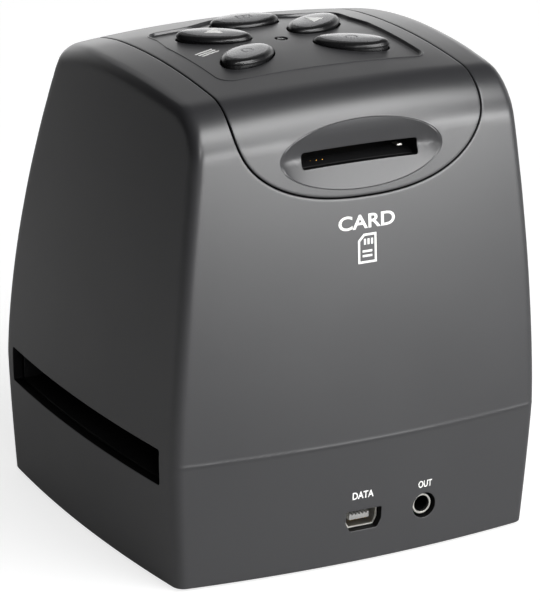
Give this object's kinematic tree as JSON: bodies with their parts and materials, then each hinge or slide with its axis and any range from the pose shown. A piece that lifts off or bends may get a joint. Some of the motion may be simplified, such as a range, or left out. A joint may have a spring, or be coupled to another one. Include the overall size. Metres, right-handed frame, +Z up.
{
  "type": "film negative scanner",
  "caption": "Free-standing box that scans 35 mm film pushed through a side channel, with oval keys on top and a card slot and sockets at the rear.",
  "frame": {"origin": "centre of the footprint, on the surface that the feet stand on", "axes": "+Z up, +X towards the user's right, +Y towards the rear with the sockets; the screen faces -Y"},
  "size_m": [0.0878, 0.086, 0.102],
  "materials": {
    "shell_plastic": "satin moulded",
    "key_plastic": "satin top, polished flank",
    "panel_plastic": "polished",
    "window_acrylic": "clear",
    "light_pipe": "clear",
    "display": "glossy dark screen",
    "foot_rubber": "matte",
    "screw_steel": "zinc plated",
    "plated_steel": "tin plated",
    "spring_steel": "drawn",
    "circuit_board": "solder mask",
    "black_resin": "moulded",
    "gold_contacts": "gold plated",
    "white_plastic": "moulded",
    "led_resin": "clear over phosphor",
    "inner_plastic": "moulded",
    "barrel_aluminium": "black anodised",
    "optical_glass": "polished",
    "filter_glass": "coated",
    "sensor_glass": "glass over silicon",
    "flex_film": "polyimide film",
    "ribbon_grey": "insulated ribbon"
  },
  "bodies": {
    "casing": {"housing": "shell_plastic", "top_cover": "shell_plastic", "front_panel": "panel_plastic", "lcd_window": "window_acrylic", "lcd_module": "display", "base_plate": "shell_plastic", "rubber_feet": "foot_rubber", "base_screws": "screw_steel", "key_board": "circuit_board", "key_switches": "black_resin", "key_board_screws": "screw_steel", "status_light_lens": "light_pipe", "status_led": "led_resin", "main_board": "circuit_board", "main_chips": "black_resin", "board_screws": "screw_steel", "card_socket_base": "black_resin", "card_socket_shell": "plated_steel", "card_contacts": "gold_contacts", "card_spring": "spring_steel", "io_board": "circuit_board", "io_chips": "black_resin", "io_screws": "screw_steel", "usb_socket_shell": "plated_steel", "usb_socket_insert": "black_resin", "av_jack_body": "black_resin", "av_jack_ring": "plated_steel", "film_guide_lower": "inner_plastic", "film_guide_upper": "inner_plastic", "guide_screws": "screw_steel", "light_box": "white_plastic", "led_board": "white_plastic", "backlight_leds": "led_resin", "diffuser": "white_plastic", "lens_bracket": "inner_plastic", "lens_barrel": "barrel_aluminium", "lens_elements": "optical_glass", "lens_retainer": "barrel_aluminium", "ir_filter": "filter_glass", "sensor_board": "circuit_board", "image_sensor": "sensor_glass", "sensor_screws": "screw_steel", "detent_spring": "spring_steel", "detent_cap": "inner_plastic", "display_flex": "flex_film", "sensor_flex": "flex_film", "io_ribbon": "ribbon_grey"},
    "key_up": {"key_up": "key_plastic"},
    "key_down": {"key_down": "key_plastic"},
    "key_menu": {"key_menu": "key_plastic"},
    "key_mode": {"key_mode": "key_plastic"},
    "key_power": {"key_power": "key_plastic"},
    "card_slide": {"card_slider": "white_plastic"},
    "detent": {"detent_plunger": "spring_steel"}
  },
  "joints": [
    {"name": "key_up_press", "type": "slide", "parent": "casing", "child": "key_up", "axis": [0, 0, -1], "range_m": [0, 0.0006], "stiffness_N_per_m": 900, "springref_m": -0.0003},
    {"name": "key_down_press", "type": "slide", "parent": "casing", "child": "key_down", "axis": [0, 0, -1], "range_m": [0, 0.0006], "stiffness_N_per_m": 900, "springref_m": -0.0003},
    {"name": "key_menu_press", "type": "slide", "parent": "casing", "child": "key_menu", "axis": [0, 0, -1], "range_m": [0, 0.0006], "stiffness_N_per_m": 900, "springref_m": -0.0003},
    {"name": "key_mode_press", "type": "slide", "parent": "casing", "child": "key_mode", "axis": [0, 0, -1], "range_m": [0, 0.0006], "stiffness_N_per_m": 900, "springref_m": -0.0003},
    {"name": "key_power_press", "type": "slide", "parent": "casing", "child": "key_power", "axis": [0, 0, -1], "range_m": [0, 0.0006], "stiffness_N_per_m": 900, "springref_m": -0.0003},
    {"name": "card_push", "type": "slide", "parent": "casing", "child": "card_slide", "axis": [0, -1, 0], "range_m": [0, 0.0025], "stiffness_N_per_m": 300, "springref_m": -0.0005, "deforming": ["card_spring"]},
    {"name": "detent_lift", "type": "slide", "parent": "casing", "child": "detent", "axis": [0, 0, 1], "range_m": [0, 0.0009], "stiffness_N_per_m": 600, "springref_m": -0.0006, "deforming": ["detent_spring"]}
  ]
}
